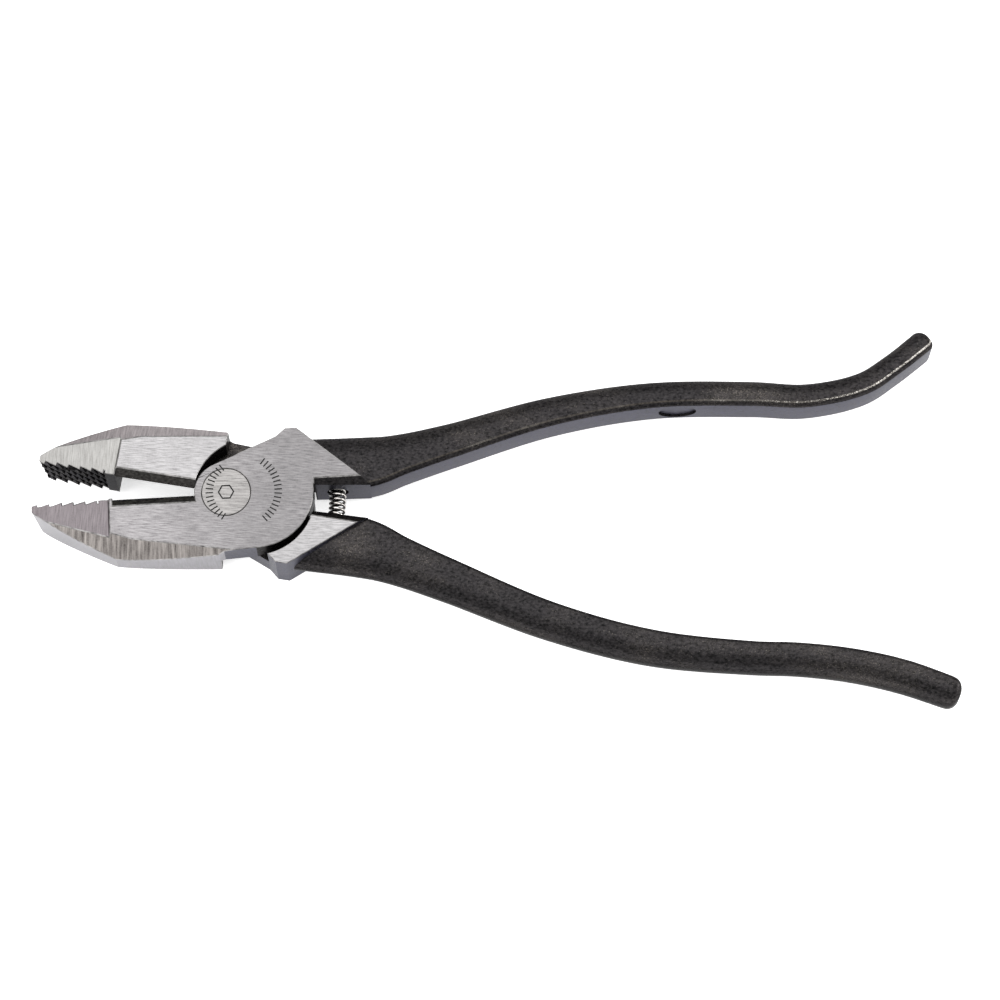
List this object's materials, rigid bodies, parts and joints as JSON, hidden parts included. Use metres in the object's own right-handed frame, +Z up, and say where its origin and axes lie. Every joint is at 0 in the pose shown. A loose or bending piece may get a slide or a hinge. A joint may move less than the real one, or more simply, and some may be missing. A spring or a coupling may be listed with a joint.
{
  "type": "lineman pliers",
  "caption": "Spring-opened lineman pliers: forged halves lapped at a flush rivet, toothed jaws, side cutters, bare D-section handles, one ending in a hook bend.",
  "frame": {"origin": "rivet axis at the underside face the tool lies on", "axes": "+X from the rivet to the handle ends along the tool, +Y to the hook handle's side, +Z up through the joint's thickness"},
  "size_m": [0.2343, 0.0977, 0.0159],
  "materials": {
    "forged_steel": "black oxide satin handles, bright ground head and jaws",
    "ground_steel": "ground flush with the joint face",
    "spring_wire": "bright drawn wire"
  },
  "bodies": {
    "hook_half": {"hook_handle_half": "forged_steel", "pivot_rivet": "ground_steel", "opening_spring": "spring_wire"},
    "plain_half": {"plain_handle_half": "forged_steel"}
  },
  "joints": [
    {"name": "pivot_hinge", "type": "hinge", "parent": "hook_half", "child": "plain_half", "pos_m": [0, 0, 0.00795], "axis": [0, 0, 1], "range_deg": [-20, 12.5], "stiffness_Nm_per_rad": 2.8, "deforming": ["opening_spring"]}
  ]
}
